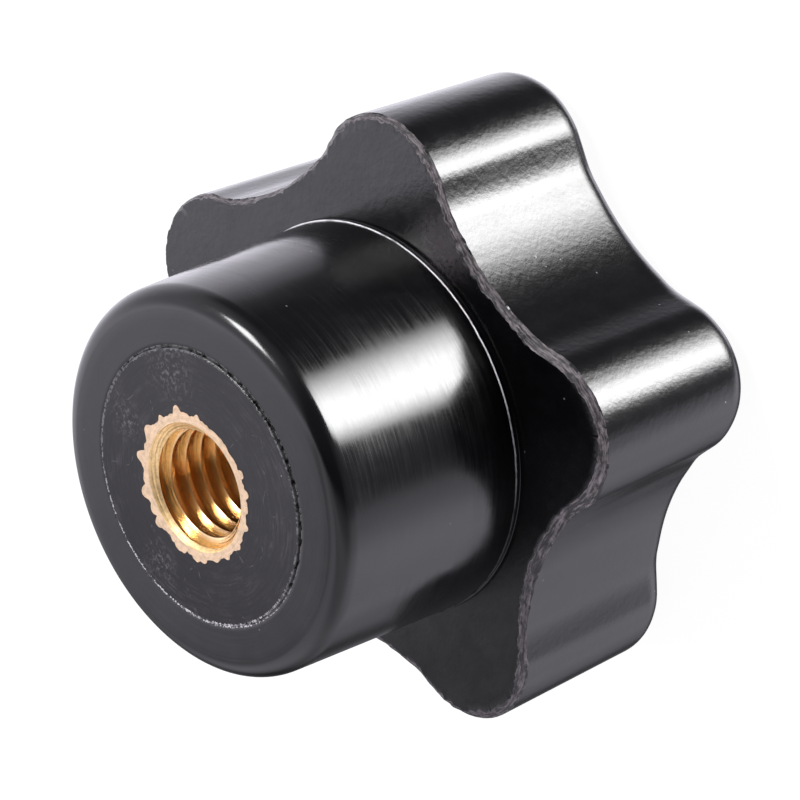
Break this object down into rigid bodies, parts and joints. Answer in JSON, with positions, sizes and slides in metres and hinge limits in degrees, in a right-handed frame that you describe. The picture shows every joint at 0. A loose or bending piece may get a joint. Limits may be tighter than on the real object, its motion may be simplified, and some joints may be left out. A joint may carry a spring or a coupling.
{
  "type": "star knob",
  "caption": "Black lobed star knob with a tall round hub and a blind threaded metal insert, for tightening a screw or stud by hand.",
  "frame": {"origin": "on the hub's axis, at the middle of the palm face that the knob stands on", "axes": "+Z along the hub's axis, from the palm face out through the threaded mouth; +X through the middle of one lobe"},
  "size_m": [0.0465, 0.0482, 0.035],
  "materials": {
    "knob_body": "polished black phenolic moulding",
    "threaded_insert": "machined brass"
  },
  "bodies": {
    "root": {"knob_body": "knob_body", "threaded_insert": "threaded_insert"}
  },
  "joints": []
}
